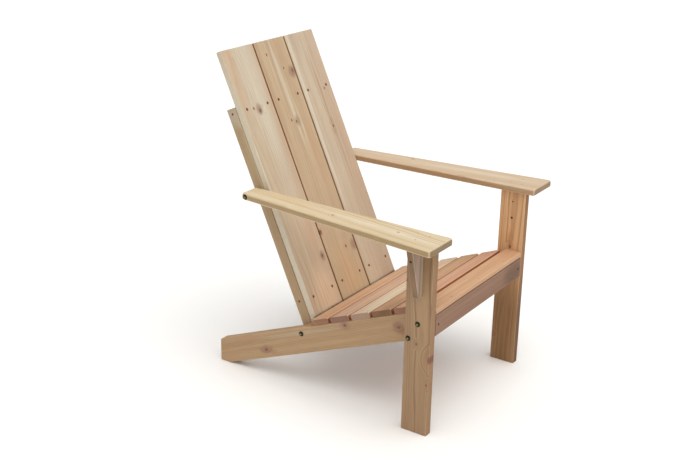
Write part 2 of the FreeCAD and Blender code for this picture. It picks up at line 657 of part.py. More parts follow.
def carriage_bolt(grip):
    """A round-headed bolt: a shallow dome, and a shank that passes the nut."""
    head = value("Sizes.bolt_head_width / 2")
    height = value("Sizes.bolt_head_height")
    shank = value("Sizes.bolt_thickness / 2")
    rim = height / 5
    length = grip + value("Sizes.washer_thickness + Sizes.nut_thickness + Sizes.bolt_tail")
    chamfer = shank / 4
    rise = height - rim
    radius = (head ** 2 + rise ** 2) / (2 * rise)
    middle = FreeCAD.Vector(0, 0, radius - height)
    angle = math.asin(head / radius) / 2
    on_dome = middle + FreeCAD.Vector(math.sin(angle), 0, -math.cos(angle)) * radius
    dome = Part.Arc(FreeCAD.Vector(0, 0, -height), on_dome, FreeCAD.Vector(head, 0, -rim))
    straight = [(head, -rim), (head, 0), (shank, 0), (shank, length - chamfer),
                (shank - chamfer, length), (0, length), (0, -height)]
    corners = [FreeCAD.Vector(across, 0, up) for across, up in straight]
    edges = [dome.toShape()] + [
        Part.LineSegment(first, last).toShape() for first, last in zip(corners, corners[1:])
    ]
    face = Part.Face(Part.Wire(edges))
    return face.revolve(FreeCAD.Vector(0, 0, 0), FreeCAD.Vector(0, 0, 1), 360)


SCREW_FLAT = 0.8     # flat of a screw head's top, as a part of its width
SCREW_BEVEL = 0.3    # bevelled rim, as a part of the head's height


def deck_screw(seat, bite):
    """A trim-head screw with a square socket: seat is the wood of the first board."""
    head = value("Sizes.screw_head_width / 2")
    height = value("Sizes.screw_head_height")
    shank = value("Sizes.screw_thickness / 2")
    length = seat + value(bite)
    shape = revolved([(0, -height), (head * SCREW_FLAT, -height),
                      (head, -height * (1 - SCREW_BEVEL)), (head, 0),
                      (shank, 0), (shank, length - 2 * shank), (0, length)])
    drive = value("Sizes.screw_drive")
    socket = Part.makeBox(drive, drive, height * (1 - SCREW_BEVEL),
                          FreeCAD.Vector(-drive / 2, -drive / 2, -height))
    return shape.cut(socket)


def finish_nail(grip):
    head = value("Sizes.nail_head_width / 2")
    height = value("Sizes.nail_head_height")
    shank = value("Sizes.nail_thickness / 2")
    length = grip - height + value("Sizes.nail_bite")
    return revolved([(0, -height), (head, -height), (head, 0), (shank, 0),
                     (shank, length - 2 * shank), (0, length)])


def washer():
    hole = value("Layout.bolt_hole / 2")
    rim = value("Sizes.washer_width / 2")
    thickness = value("Sizes.washer_thickness")
    return revolved([(hole, 0), (rim, 0), (rim, thickness), (hole, thickness)])


def hex_nut():
    flats = value("Sizes.nut_width")
    thickness = value("Sizes.nut_thickness")
    corner = flats / math.sqrt(3)
    ring = [FreeCAD.Vector(corner * math.cos(math.radians(60 * step)),
                           corner * math.sin(math.radians(60 * step)), 0) for step in range(7)]
    block = Part.Face(Part.makePolygon(ring)).extrude(FreeCAD.Vector(0, 0, thickness))
    # The corners are turned off at 30 degrees on both faces.
    bevel = (corner - flats / 2) * math.tan(math.radians(30))
    lathe = revolved([(0, 0), (flats / 2, 0), (corner, bevel), (corner, thickness - bevel),
                      (flats / 2, thickness), (0, thickness)])
    bore = Part.makeCylinder(value("(Sizes.bolt_thickness + Sizes.screw_clearance) / 2"), thickness)
    return block.common(lathe).cut(bore)


def level_place(across, run, up):
    return FreeCAD.Vector(value(across), value(f"({run}) - Layout.middle_run"), value(up))


def back_place(across, depth, rise):
    run = f"Sizes.seat_depth + ({rise}) * Layout.lean_sin + ({depth}) * Layout.lean_cos"
    up = f"Layout.seam_up + ({rise}) * Layout.lean_cos - ({depth}) * Layout.lean_sin"
    return level_place(across, run, up)


def seat_place(across, along, above):
    run = f"Sizes.seat_depth + ({along}) * Layout.slope_cos + ({above}) * Layout.slope_sin"
    up = f"Layout.seam_up - ({along}) * Layout.slope_sin + ({above}) * Layout.slope_cos"
    return level_place(across, run, up)


def add_group(label, shapes_and_places):
    """One named compound of fasteners, each turned from +Z to its own direction."""
    solids = []
    for shape, place, direction in shapes_and_places:
        turned = FreeCAD.Rotation(FreeCAD.Vector(0, 0, 1), direction)
        solids.append(shape.transformed(FreeCAD.Placement(place, turned).toMatrix(), True))
    group = doc.addObject("Part::Feature", label)
    group.Shape = Part.makeCompound(solids)
    return group


BACKWARD = FreeCAD.Vector(0, value("Layout.lean_cos"), -value("Layout.lean_sin"))
INTO_SEAT = FreeCAD.Vector(0, -value("Layout.slope_sin"), -value("Layout.slope_cos"))
DOWN = FreeCAD.Vector(0, 0, -1)
INWARD = {side: FreeCAD.Vector(-sign, 0, 0) for side, sign in SIDES.items()}


def bolt_stations():
    """Every bolt: its name, the side, its place under the head, and the wood it grips."""
    leg_grip = value("Sizes.leg_thickness + Sizes.rail_thickness")
    foot_grip = value("Sizes.rail_thickness + Sizes.upright_width")
    arm_grip = value("Layout.arm_bolt_head - Layout.rail_inner + Sizes.upright_width")
    stations = []
    for side, sign in SIDES.items():
        outer = f"{sign} * Layout.leg_outer"
        high = level_place(outer, "Sizes.leg_width / 2", "Layout.high_bolt_up")
        low = level_place(outer, "Layout.low_bolt_run", "Layout.low_bolt_up")
        foot = level_place(f"{sign} * Layout.rail_outer", "Layout.foot_bolt_run",
                           "Layout.foot_bolt_up")
        arm = level_place(f"{sign} * Layout.arm_bolt_head", "Layout.arm_bolt_run",
                          "Layout.arm_bolt_up")
        stations += [("leg_bolts", side, high, leg_grip), ("leg_bolts", side, low, leg_grip),
                     ("back_foot_bolts", side, foot, foot_grip),
                     ("armrest_bolts", side, arm, arm_grip)]
    return stations


def make_bolts():
    stations = bolt_stations()
    groups = []
    for name in ("leg_bolts", "back_foot_bolts", "armrest_bolts"):
        groups.append(add_group(name, [(carriage_bolt(grip), place, INWARD[side])
                                       for kind, side, place, grip in stations if kind == name]))
    washers = [(washer(), place + INWARD[side] * grip, INWARD[side])
               for kind, side, place, grip in stations]
    past_washer = value("Sizes.washer_thickness")
    nuts = [(hex_nut(), place + INWARD[side] * (grip + past_washer), INWARD[side])
            for kind, side, place, grip in stations]
    return groups + [add_group("bolt_washers", washers), add_group("bolt_nuts", nuts)]


def make_screws():
    head_seat = value("Layout.screw_head_seat")
    plank_seat = value("Sizes.plank_thickness") - head_seat
    planks = [(deck_screw(plank_seat, "Sizes.short_bite"),
               back_place(across, "Layout.screw_head_seat", rise), BACKWARD)
              for place in BACK_PLANKS.values() for across, rise in plank_screws(place)]
    upright_seat = value("Sizes.upright_width") - head_seat
    cleats = [(deck_screw(upright_seat, "Sizes.screw_bite"),
               back_place(f"{sign} * (Layout.rail_inner - Layout.screw_head_seat)",
                          "Layout.cleat_middle", rise), INWARD[side])
              for side, sign in SIDES.items()
              for rise in ("Sizes.lower_cleat_rise", "Layout.upper_cleat_rise")]
    apron_seat = value("Sizes.apron_thickness") - head_seat
    aprons = [(deck_screw(apron_seat, "Sizes.short_bite"),
               level_place(f"{sign} * Layout.rail_middle", "Layout.screw_head_seat",
                           "Layout.apron_middle"), FreeCAD.Vector(0, 1, 0))
              for sign in SIDES.values()]
    outer = [(deck_screw(value("Sizes.bracket_screw_seat"), "Sizes.bracket_bite"),
              level_place(f"{sign} * (Layout.leg_outer + Sizes.bracket_screw_seat)",
                          "Sizes.leg_width / 2", "Layout.bracket_screw_up"), INWARD[side])
             for side, sign in SIDES.items()]
    inner = [(deck_screw(value("Sizes.leg_thickness") - head_seat, "Sizes.bracket_bite"),
              level_place(f"{sign} * (Layout.rail_outer + Layout.screw_head_seat)",
                          "Sizes.leg_width / 2", "Layout.leg_screw_up"), -INWARD[side])
             for side, sign in SIDES.items()]
    return [add_group("back_plank_screws", planks), add_group("cross_rail_screws", cleats),
            add_group("apron_screws", aprons), add_group("bracket_screws", outer + inner)]


def make_nails():
    head = "Sizes.nail_head_height"
    slat_nail = finish_nail(value("Sizes.slat_thickness"))
    slats = [(slat_nail, seat_place(f"{sign} * Layout.rail_middle", run, f"-{head}"), INTO_SEAT)
             for number in range(SEAT_SLATS) for run in slat_nail_runs(number)
             for sign in SIDES.values()]
    fronts = [(slat_nail, level_place(across, run, f"Layout.front_slat_top - {head}"), DOWN)
              for across, run in front_slat_nails()]
    arms = [(finish_nail(value("Sizes.arm_thickness")),
             level_place(across, run, f"Layout.arm_top - {head}"), DOWN)
            for sign in SIDES.values() for across, run in arm_nails(sign)]
    return [add_group("seat_slat_nails", slats + fronts), add_group("armrest_nails", arms)]


# ---------------------------------------------------------------- the chair

pieces = []
for side, sign in SIDES.items():
    pieces += [make_leg(side, sign), make_side_rail(side, sign), make_upright(side, sign),
               make_armrest(side, sign), make_arm_bracket(side, sign)]
pieces.append(make_apron())
pieces += [make_seat_slat(number) for number in range(SEAT_SLATS)]
pieces.append(make_front_slat())
pieces += [make_back_plank(name, place) for name, place in BACK_PLANKS.items()]
pieces += [make_cleat("lower_back_rail", "Sizes.lower_cleat_rise"),
           make_cleat("upper_back_rail", "Layout.upper_cleat_rise")]
pieces += make_bolts()
pieces += make_screws()
pieces += make_nails()
doc.recompute()

for item in doc.Objects:
    if "Invalid" in item.State or "Error" in item.State:
        raise RuntimeError(f"{item.Label} failed: {item.State}")
for piece in pieces:
    if piece.Shape.isNull() or not piece.Shape.isValid():
        raise RuntimeError(f"{piece.Label} has no valid shape")

os.makedirs("parts", exist_ok=True)
for piece in pieces:
    piece.Shape.exportStep(f"parts/{piece.Label}.step")
    print(piece.Label, round(piece.Shape.Volume), "mm3", len(piece.Shape.Solids), "solid(s)")
box = Part.makeCompound([piece.Shape for piece in pieces]).BoundBox
print("from", box.XMin, box.YMin, box.ZMin, "to", box.XMax, box.YMax, box.ZMax)
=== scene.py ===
# %% [markdown]
# # An adirondack chair in red cedar
# The chair is a bolted and screwed frame of planed cedar boards. Its exact shape comes
# ready made as a fixed frame of named parts, so nothing is modelled here. This lesson gives
# each board and fastener its look, sets the chair on a pale floor, lights it and places the
# camera.

# %% Load the frame
import bpy
import math
from mathutils import Matrix, Vector

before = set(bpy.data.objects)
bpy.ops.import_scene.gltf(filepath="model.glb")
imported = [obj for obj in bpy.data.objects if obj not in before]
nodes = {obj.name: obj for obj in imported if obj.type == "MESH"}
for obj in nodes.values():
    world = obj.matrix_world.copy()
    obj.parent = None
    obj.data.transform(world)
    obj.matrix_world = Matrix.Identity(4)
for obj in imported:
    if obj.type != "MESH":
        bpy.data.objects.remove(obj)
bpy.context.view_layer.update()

# %% [markdown]
# ## The camera
# The chair is seen from its front right, from the height of a standing person's eye. A lens
# of about 58 mm keeps the boards' lines nearly parallel. An aim constraint would hold the
# camera level, but this view leans by one degree, so the camera's three axes are worked out
# from a heading, a downward tilt and a lean, and set as one turn.

# %% Camera
LENS_MM = 58.08
HEADING = math.radians(-56.39)
DOWNWARD = math.radians(20.79)
LEAN = math.radians(1.115)
EYE = Vector((-2.565, -1.628, 1.568))

forward = Vector((-math.sin(HEADING) * math.cos(DOWNWARD),
                  math.cos(HEADING) * math.cos(DOWNWARD), -math.sin(DOWNWARD)))
level = Vector((math.cos(HEADING), math.sin(HEADING), 0))
above = level.cross(forward)
camera_x = math.cos(LEAN) * level + math.sin(LEAN) * above
camera_y = -math.sin(LEAN) * level + math.cos(LEAN) * above
turn = Matrix((camera_x, camera_y, -forward)).transposed().to_4x4()

camera = bpy.data.objects.new("camera", bpy.data.cameras.new("camera"))
camera.data.lens = LENS_MM
camera.matrix_world = Matrix.Translation(EYE) @ turn
bpy.context.scene.collection.objects.link(camera)
bpy.context.scene.camera = camera
print("camera looks along", [round(c, 3) for c in forward])

# %% [markdown]
# ## Colours and nodes
# Colours are picked as sRGB hex values, as a paint program gives them, and the shaders
# want linear light, so one function converts them. The nodes could be placed by hand in the
# shader editor, but 22 boards need the same ones. So a second small function adds any node,
# with its settings, and links whatever feeds it.

# %% Helpers for colours and nodes
def linear(colour):
    """An sRGB hex colour as linear red, green, blue and alpha, by the standard sRGB curve."""
    channels = [int(colour[i:i + 2], 16) / 255 for i in (1, 3, 5)]
    return [c / 12.92 if c <= 0.04045 else ((c + 0.055) / 1.055) ** 2.4 for c in channels] + [1.0]


def add(tree, kind, settings=None, feeds=None):
    """Adds a node. feeds maps a socket's name or number to a value, a node or an output."""
    node = tree.nodes.new("ShaderNode" + kind)
    for setting, value in (settings or {}).items():
        setattr(node, setting, value)
    for socket, value in (feeds or {}).items():
        if isinstance(value, bpy.types.Node):
            value = value.outputs[0]
        if isinstance(value, bpy.types.NodeSocket):
            tree.links.new(value, node.inputs[socket])
        else:
            node.inputs[socket].default_value = value
    return node


print("half grey #808080 in linear light:", [round(c, 3) for c in linear("#808080")])

# %% [markdown]
# ## Where each board lies
# Wood is a solid pattern: rings on a face continue on the edges and the ends. A flat picture
# of wood would break at every corner, so each board gets its own axes instead, measured from
# its faces. The broadest faces give the thickness, the next broadest square to them give the
# width, and the grain runs square to both. Only the brackets need to be told their grain.

# %% Board axes
MM = 0.001
SQUARE = 0.1             # two directions count as square when their cosine is under this


def pointing_forward(direction):
    """The same line, pointing the way of its largest part."""
    largest = max(range(3), key=lambda i: abs(direction[i]))
    return direction if direction[largest] > 0 else -direction


def board_axes(name, grain=None):
    """Middle of a board, and its axes: across the width, through the thickness, along the grain."""
    mesh = nodes[name].data
    areas = {}
    for face in mesh.polygons:
        key = tuple(round(c, 2) + 0.0 for c in pointing_forward(face.normal))
        areas.setdefault(key, [0.0, face.normal.copy()])[0] += face.area
    ranked = [normal for area, normal in sorted(areas.values(), key=lambda pair: -pair[0])]
    thickness = pointing_forward(ranked[0]).normalized()
    if grain is None:
        width = next(n for n in ranked if abs(n.dot(thickness)) < SQUARE)
        grain = thickness.cross(width)
    grain = pointing_forward((grain - thickness * grain.dot(thickness)).normalized())
    axes = Matrix((thickness.cross(grain), thickness, grain))
    points = [axes @ v.co for v in mesh.vertices]
    low = Vector([min(p[i] for p in points) for i in range(3)])
    high = Vector([max(p[i] for p in points) for i in range(3)])
    return axes.transposed() @ ((low + high) / 2), axes.transposed(), high - low


plank_size = board_axes("back_plank_middle")[2]
print("a back plank, in mm:", [round(length / MM, 1) for length in plank_size])

# %% [markdown]
# ## Red cedar, planed and sanded, with no finish
# The boards are western red cedar. Its heartwood runs from straw to pink and brown, its
# sapwood is nearly white, and each year leaves a thin dark line of late wood. The growth
# rings are modelled as they grew: distance from the tree's middle line, which lies beside
# the board, bent by noise. That one field then shows as straight grain, arches or arcs,
# whichever way the board was cut. The next cells each make one thing that the wood shows,
# and the last of them puts these together.
#
# First comes the bend. Each board's own coordinates run across it, through it and along the
# grain. A slow noise moves every place by a few millimetres, so that no line is drawn with
# a ruler, and rings, knots and stains drawn on the moved places all bend together.

# %% Places in a board
BEND = 1000 * MM / 26    # the grain bends some 26 times in a metre across the board
BEND_LENGTH = 6.25       # and each bend is this many times longer along it
WOBBLE = Vector((7, 7, 4)) * MM      # how far it moves a place across, through and along


def board_places(tree, middle, axes, seed):
    """Places on the board, the same places bent with the grain, and the way a face looks."""
    chair = add(tree, "TexCoord")
    local = add(tree, "Mapping", {"vector_type": "TEXTURE"},
                {"Vector": chair.outputs["Object"], "Location": middle, "Rotation": axes.to_euler()})
    facing = add(tree, "Mapping", {"vector_type": "NORMAL"},
                 {"Vector": chair.outputs["Normal"], "Rotation": axes.inverted().to_euler()})
    stretched = add(tree, "Mapping", {}, {"Vector": local, "Scale": (1, 1, 1 / BEND_LENGTH),
                                          "Location": (seed, seed * 0.7, -seed)})
    wobble = add(tree, "TexNoise", {}, {"Vector": stretched, "Scale": 1 / BEND, "Detail": 2.0})
    shift = add(tree, "VectorMath", {"operation": "MULTIPLY_ADD"},
                {0: wobble.outputs["Color"], 1: WOBBLE, 2: local})
    return local, shift, facing


print("one bend of the grain, in mm:", round(BEND / MM), "by", round(BEND * BEND_LENGTH / MM))

# %% [markdown]
# ### Knots and other places in the wood
# A knot is the foot of a branch, a stain is where water or a branch coloured the wood, and
# both are ovals that run on through the board. They could be painted, but a distance does
# the same and reaches the back and the edges too: a Mapping node puts zero at the oval's
# middle and 1 at its rim. Knots that lie close together join softly.

# %% Ovals and knots
FAR = 10000.0            # farther than any part of a board, in mm or in widths of a knot
KNOT_LENGTH = 1.4        # a branch leaves the tree aslant, so a knot is longer than wide
KNOT_JOIN = 0.6          # how softly two knots join, in units of their size


def away_from(tree, shift, across, along, width, length, face=0.0, depth=FAR):
    """Distance from a place on the board, 1 at the edge of an oval of that size. It goes
    through the board, or reaches only to a depth from one face. Noise averages a half, so
    the place is moved by half the wobble."""
    oval = add(tree, "Mapping", {"vector_type": "TEXTURE"},
               {"Vector": shift, "Location": Vector((across, face, along)) * MM + WOBBLE / 2,
                "Scale": Vector((width / 2, depth, length / 2)) * MM})
    return add(tree, "VectorMath", {"operation": "LENGTH"}, {0: oval}).outputs["Value"]


def nearest_knot(tree, shift, knots):
    """Distance from the nearest knot, in units of its own size."""
    nearest = FAR
    for across, along, width in knots:
        distance = away_from(tree, shift, across, along, width, width * KNOT_LENGTH)
        nearest = add(tree, "Math", {"operation": "SMOOTH_MIN"}, {0: distance, 1: nearest, 2: KNOT_JOIN})
    return nearest


print("a knot 10 mm wide is", 10 * KNOT_LENGTH, "mm long")

# %% [markdown]
# ### Growth rings
# A year of growth starts pale and soft and ends in a thin dark line. Blender's Wave texture
# draws rings too, but all alike and round a fixed middle. Here the distance from the pith
# is counted in years: its whole part tells one year from the next, so that good and bad
# years differ, and its fraction is the season. The rings swell round a knot.

# %% Growth rings
RING = 3.4 * MM          # one year's growth; real cedar has 1 to 3 mm, drawn coarser to show
SWELLING = 14 * MM       # how far a knot pushes the rings aside
SWELL_OUTER, SWELL_INNER = 5.0, 0.4          # where that starts and ends, in knots' sizes
SUMMER, AUTUMN, WINTER = 0.35, 0.92, 0.93    # late wood starts, is darkest, and fades, in years
POOR_YEAR = 0.25         # the faintest line, against 1 for the strongest


def growth_rings(tree, shift, nearest, pith, slope):
    """Distance from the pith in metres, and the late wood line's strength, 0 to 1."""
    swelling = add(tree, "MapRange", {"interpolation_type": "SMOOTHERSTEP"},
                   {"Value": nearest, "From Min": SWELL_OUTER, "From Max": SWELL_INNER,
                    "To Max": SWELLING})
    leaning = add(tree, "Mapping", {}, {"Vector": shift, "Rotation": (0, slope, 0),
                                        "Location": (-pith[0] * MM, -pith[1] * MM, 0)})
    flat = add(tree, "VectorMath", {"operation": "MULTIPLY"}, {0: leaning, 1: (1, 1, 0)})
    radius = add(tree, "VectorMath", {"operation": "LENGTH"}, {0: flat})
    grown = add(tree, "Math", {"operation": "ADD"}, {0: radius.outputs["Value"], 1: swelling})
    years = add(tree, "Math", {"operation": "DIVIDE"}, {0: grown, 1: RING})
    year = add(tree, "Math", {"operation": "FLOOR"}, {0: years})
    season = add(tree, "Math", {"operation": "FRACT"}, {0: years})
    weather = add(tree, "TexWhiteNoise", {"noise_dimensions": "1D"}, {"W": year})
    late_wood = add(tree, "MapRange", {"interpolation_type": "SMOOTHSTEP"},
                    {"Value": season, "From Min": SUMMER, "From Max": AUTUMN})
    turn_back = add(tree, "MapRange", {}, {"Value": season, "From Min": 1.0, "From Max": WINTER})
    line = add(tree, "Math", {"operation": "MULTIPLY"}, {0: late_wood, 1: turn_back})
    strength = add(tree, "MapRange", {}, {"Value": weather, "To Min": POOR_YEAR, "To Max": 1.0})
    line = add(tree, "Math", {"operation": "MULTIPLY"}, {0: line, 1: strength})
    return grown, line


print("years across a back plank:", round(plank_size.x / RING))

# %% [markdown]
# ### Bands, sapwood and stains
# Cedar's heartwood changes colour over years, so broad bands follow the rings, and they fade
# in and out along the board. A plain noise would lie across the grain, so this one is fed
# the distance from the pith in place of a width. Sapwood, heartwood stripes and stains lie
# where each board happens to have them, and the bands make their edges ragged. The same
# patches also lay painted shade: in the crease where the back meets the seat, and on the
# parts of some boards that the seat, an arm or a leg shades.

# %% Bands and patches
BAND_WIDTH = 1000 * MM / 75      # about four years
BAND_LENGTH = 625 * MM
BAND_START, BAND_END = 0.36, 0.64    # the noise's values where one colour turns to the other
PATCH_RIM, PATCH_FULL = 1.1, 0.35    # a patch fades from just past its oval to well inside
RAGGED = 0.6             # a patch's strength where the bands thin it most


def colour_bands(tree, shift, grown, seed, early, blush):
    """The wood's own colour, and the noise that it is mixed by."""
    along_board = add(tree, "SeparateXYZ", {}, {"Vector": shift})
    place = add(tree, "CombineXYZ", {}, {"X": grown, "Y": seed, "Z": along_board.outputs["Z"]})
    place = add(tree, "Mapping", {}, {"Vector": place, "Scale": (1 / BAND_WIDTH, 1, 1 / BAND_LENGTH)})
    band = add(tree, "TexNoise", {}, {"Vector": place, "Scale": 1.0, "Detail": 3.0})
    mix = add(tree, "MapRange", {"interpolation_type": "SMOOTHSTEP"},
              {"Value": band, "From Min": BAND_START, "From Max": BAND_END})
    colour = add(tree, "MixRGB", {}, {"Fac": mix, "Color1": linear(early), "Color2": linear(blush)})
    return colour, band


def with_patches(tree, colour, shift, band, patches):
    """The colour with sapwood, stripes, stains and painted shade laid over it."""
    ragged = add(tree, "MapRange", {}, {"Value": band, "From Min": 0.3, "From Max": 0.6,
                                        "To Min": RAGGED})
    for across, along, width, length, strength, hue, *skin in patches:
        distance = away_from(tree, shift, across, along, width, length, *skin)
        inside = add(tree, "MapRange", {"interpolation_type": "SMOOTHSTEP"},
                     {"Value": distance, "From Min": PATCH_RIM, "From Max": PATCH_FULL,
                      "To Max": strength})
        inside = add(tree, "Math", {"operation": "MULTIPLY"}, {0: inside, 1: ragged})
        colour = add(tree, "MixRGB", {}, {"Fac": inside, "Color1": colour, "Color2": linear(hue)})
    return colour


print("a band of colour, in mm:", round(BAND_WIDTH / MM), "by", round(BAND_LENGTH / MM))

# %% [markdown]
# ### Late wood and fibres
# Seen near, wood is a bundle of fibres along the grain. A fine noise stretched along the
# board draws them: it lightens and darkens the colour a little, and later gives the
# surface its faint tooth and its uneven sheen.

# %% Late wood and fibres
FIBRE = 0.55 * MM        # bundles of fibres; single ones are 0.04 mm, too fine to show
FIBRE_LENGTH = 40        # times as long as wide
FIBRE_DARK, FIBRE_LIGHT = 0.91, 1.06


def with_grain(tree, colour, shift, line, late, lines):
    """The colour with late wood lines and fibres, and the fibres' own noise."""
    line_mix = add(tree, "Math", {"operation": "MULTIPLY"}, {0: line, 1: lines})
    colour = add(tree, "MixRGB", {}, {"Fac": line_mix, "Color1": colour, "Color2": linear(late)})
    place = add(tree, "Mapping", {}, {"Vector": shift, "Scale": (1, 1, 1 / FIBRE_LENGTH)})
    fibres = add(tree, "TexNoise", {}, {"Vector": place, "Scale": 1 / (2 * FIBRE), "Detail": 3.0})
    tone = add(tree, "MapRange", {}, {"Value": fibres, "From Min": 0.3, "From Max": 0.7,
                                      "To Min": FIBRE_DARK, "To Max": FIBRE_LIGHT})
    colour = add(tree, "VectorMath", {"operation": "SCALE"}, {0: colour, "Scale": tone})
    return colour, fibres


print("a bundle of fibres, in mm:", FIBRE / MM, "by", round(FIBRE * FIBRE_LENGTH / MM))

# %% [markdown]
# ### What a knot looks like
# A knot has a stain around it, a dark ring of bark, and a core with rings of its own. All
# three are read from the one distance: the stain fades outwards, the core starts at the
# rim, and a ping-pong of the distance gives the small rings.

# %% Knot colours
KNOT_STAIN, KNOT_BARK, KNOT_HEART = "#A47455", "#6A4630", "#946A4C"
KNOT_RING = 0.14         # half the spacing of the core's rings, in units of the knot's size
STAIN_OUTER, STAIN_INNER, STAIN_STRENGTH = 2.4, 0.9, 0.5
CORE_OUTER, CORE_INNER = 1.1, 0.8


def with_knots(tree, colour, nearest):
    """The colour with its knots, and how far inside one a place is."""
    stain = add(tree, "MapRange", {"interpolation_type": "SMOOTHSTEP"},
                {"Value": nearest, "From Min": STAIN_OUTER, "From Max": STAIN_INNER,
                 "To Max": STAIN_STRENGTH})
    colour = add(tree, "MixRGB", {}, {"Fac": stain, "Color1": colour.outputs[0],
                                      "Color2": linear(KNOT_STAIN)})
    core = add(tree, "MapRange", {"interpolation_type": "SMOOTHSTEP"},
               {"Value": nearest, "From Min": CORE_OUTER, "From Max": CORE_INNER})
    core_rings = add(tree, "Math", {"operation": "PINGPONG"}, {0: nearest, 1: KNOT_RING})
    core_tone = add(tree, "MapRange", {}, {"Value": core_rings, "From Max": KNOT_RING})
    core_colour = add(tree, "MixRGB", {}, {"Fac": core_tone, "Color1": linear(KNOT_BARK),
                                           "Color2": linear(KNOT_HEART)})
    colour = add(tree, "MixRGB", {}, {"Fac": core, "Color1": colour, "Color2": core_colour})
    return colour, core


print("rings in a knot's core:", round(1 / (2 * KNOT_RING)))

# %% [markdown]
# ### Rust at the screws
# Iron in damp cedar stains the rim of each screw hole: fresh and orange low down, older and
# darker above. A plank has four screws in a rectangle. Four distances would do it, but the
# absolute value folds all four places onto one, so a single distance is enough.

# %% Rust
FRESH_RUST, OLD_RUST = "#B4623A", "#84503A"
RUST_INNER, RUST_OUTER = 3.5 * MM, 6 * MM    # from just outside the screw head to the end
RUST_STRENGTH = 0.6


def with_rust(tree, colour, local, screws):
    """The colour with rust round four screws: how far out they are, and their two heights."""
    across, low, high = (v * MM for v in screws)
    plain = add(tree, "SeparateXYZ", {}, {"Vector": local})
    fold_x = add(tree, "Math", {"operation": "ABSOLUTE"}, {0: plain.outputs["X"]})
    fold_z = add(tree, "Math", {"operation": "SUBTRACT"}, {0: plain.outputs["Z"], 1: (low + high) / 2})
    fold_z = add(tree, "Math", {"operation": "ABSOLUTE"}, {0: fold_z})
    folded = add(tree, "CombineXYZ", {}, {"X": fold_x, "Z": fold_z})
    to_screw = add(tree, "VectorMath", {"operation": "DISTANCE"},
                   {0: folded, 1: (across, 0, (high - low) / 2)})
    rust = add(tree, "MapRange", {"interpolation_type": "SMOOTHSTEP"},
               {"Value": to_screw.outputs["Value"], "From Min": RUST_OUTER, "From Max": RUST_INNER,
                "To Max": RUST_STRENGTH})
    upper = add(tree, "Math", {"operation": "GREATER_THAN"}, {0: plain.outputs["Z"], 1: 0.0})
    iron = add(tree, "MixRGB", {}, {"Fac": upper, "Color1": linear(FRESH_RUST),
                                    "Color2": linear(OLD_RUST)})
    return add(tree, "MixRGB", {}, {"Fac": rust, "Color1": colour, "Color2": iron})


print("rust reaches", round((RUST_OUTER - RUST_INNER) / MM, 1), "mm past a screw's rim")

# %% [markdown]
# ### Ends and edges
# Sawn ends are darker and greyer. A board's thin sides have a darker tint, partly their own
# where the rings meet the face at another angle, partly painted shade for the gaps between
# boards and the sides that the light reaches less. The eased edges are a little paler,
# partly from sanding wear and partly a painted highlight where the rounding catches the
# light. Painting these by hand would need a mask for each board, but the direction that a
# face looks in tells them apart: along the grain, across it, or in between where an edge
# is rounded.

# %% Ends and edges
SAWN_END = "#B4A090"
# paler eased edges: partly sanding wear, partly a painted highlight where the rounding catches the light
EDGE_WEAR_AND_HIGHLIGHT = "#EBDDC4"
END_STRENGTH, EASED_STRENGTH = 0.85, 0.14
END_FROM, END_TO = 0.55, 0.85        # cosines: 1 is a face that looks straight that way
SIDE_FROM, SIDE_TO = 0.85, 0.98
EASED_FROM, EASED_TO = 0.97, 0.8


def with_ends_and_edges(tree, colour, facing, fibres, sawn, side_tint_and_shade):
    """The colour with its ends tinted, its thin sides darkened by their tint and painted shade, and its
    eased edges paled by wear and a painted highlight.
    """
    normal = add(tree, "SeparateXYZ", {}, {"Vector": facing})
    sides = [add(tree, "Math", {"operation": "ABSOLUTE"}, {0: normal.outputs[axis]}) for axis in "XYZ"]
    end = add(tree, "MapRange", {}, {"Value": sides[2], "From Min": END_FROM, "From Max": END_TO,
                                     "To Max": END_STRENGTH})
    colour = add(tree, "MixRGB", {"blend_type": "MULTIPLY"},
                 {"Fac": end, "Color1": colour, "Color2": linear(sawn)})
    # the thin sides, which face across the width, are darkened: partly their own tint, partly painted
    # shade
    edge_on = add(tree, "MapRange", {}, {"Value": sides[0], "From Min": SIDE_FROM, "From Max": SIDE_TO})
    colour = add(tree, "MixRGB", {"blend_type": "MULTIPLY"},
                 {"Fac": edge_on, "Color1": colour, "Color2": linear(side_tint_and_shade)})
    # the eased edges are paled: partly sanding wear, partly a painted highlight on the rounding
    squarest = add(tree, "Math", {"operation": "MAXIMUM"}, {0: sides[0], 1: sides[1]})
    squarest = add(tree, "Math", {"operation": "MAXIMUM"}, {0: squarest, 1: sides[2]})
    eased = add(tree, "MapRange", {}, {"Value": squarest, "From Min": EASED_FROM,
                                       "From Max": EASED_TO, "To Max": EASED_STRENGTH})
    eased = add(tree, "Math", {"operation": "MULTIPLY"}, {0: eased, 1: fibres})
    return add(tree, "MixRGB", {}, {"Fac": eased, "Color1": colour, "Color2": linear(EDGE_WEAR_AND_HIGHLIGHT)})


print("sawn ends let through", [round(c, 2) for c in linear(SAWN_END)[:3]], "of the light")

# %% [markdown]
# ### One board's cedar
# The steps above follow each other in one material for each board. Planed and sanded cedar
# without a finish is dull: light spreads over it and no lamp shows in it, so its roughness
# is high, and it varies with the fibres. Sanding wears the soft wood more than the hard late
# wood and the knots, which stand proud by too little to model. A bump tilts the light there
# instead, and gives the eye the faint ridges along the grain.

# %% Cedar for one board
LATE_WOOD_STEP = 0.12 * MM
FIBRE_STEP, KNOT_STEP = 0.08, 0.8    # against 1 for late wood
RELIEF = 0.5             # how strongly that relief tilts the light
SANDED_SMOOTH, SANDED_ROUGH = 0.58, 0.74
WOOD_IOR = 1.5
UNTINTED = "#FFFFFF"


def new_material(name):
    """An empty material and its node tree."""
    material = bpy.data.materials.new(name)
    material.use_nodes = True
    material.node_tree.nodes.clear()
    return material, material.node_tree


def dress(node_name, material):
    """Gives a part of the frame its material, in place of the plain one it came with."""
    slots = nodes[node_name].material_slots
    for slot in slots:
        slot.material = material
    if not slots:
        nodes[node_name].data.materials.append(material)


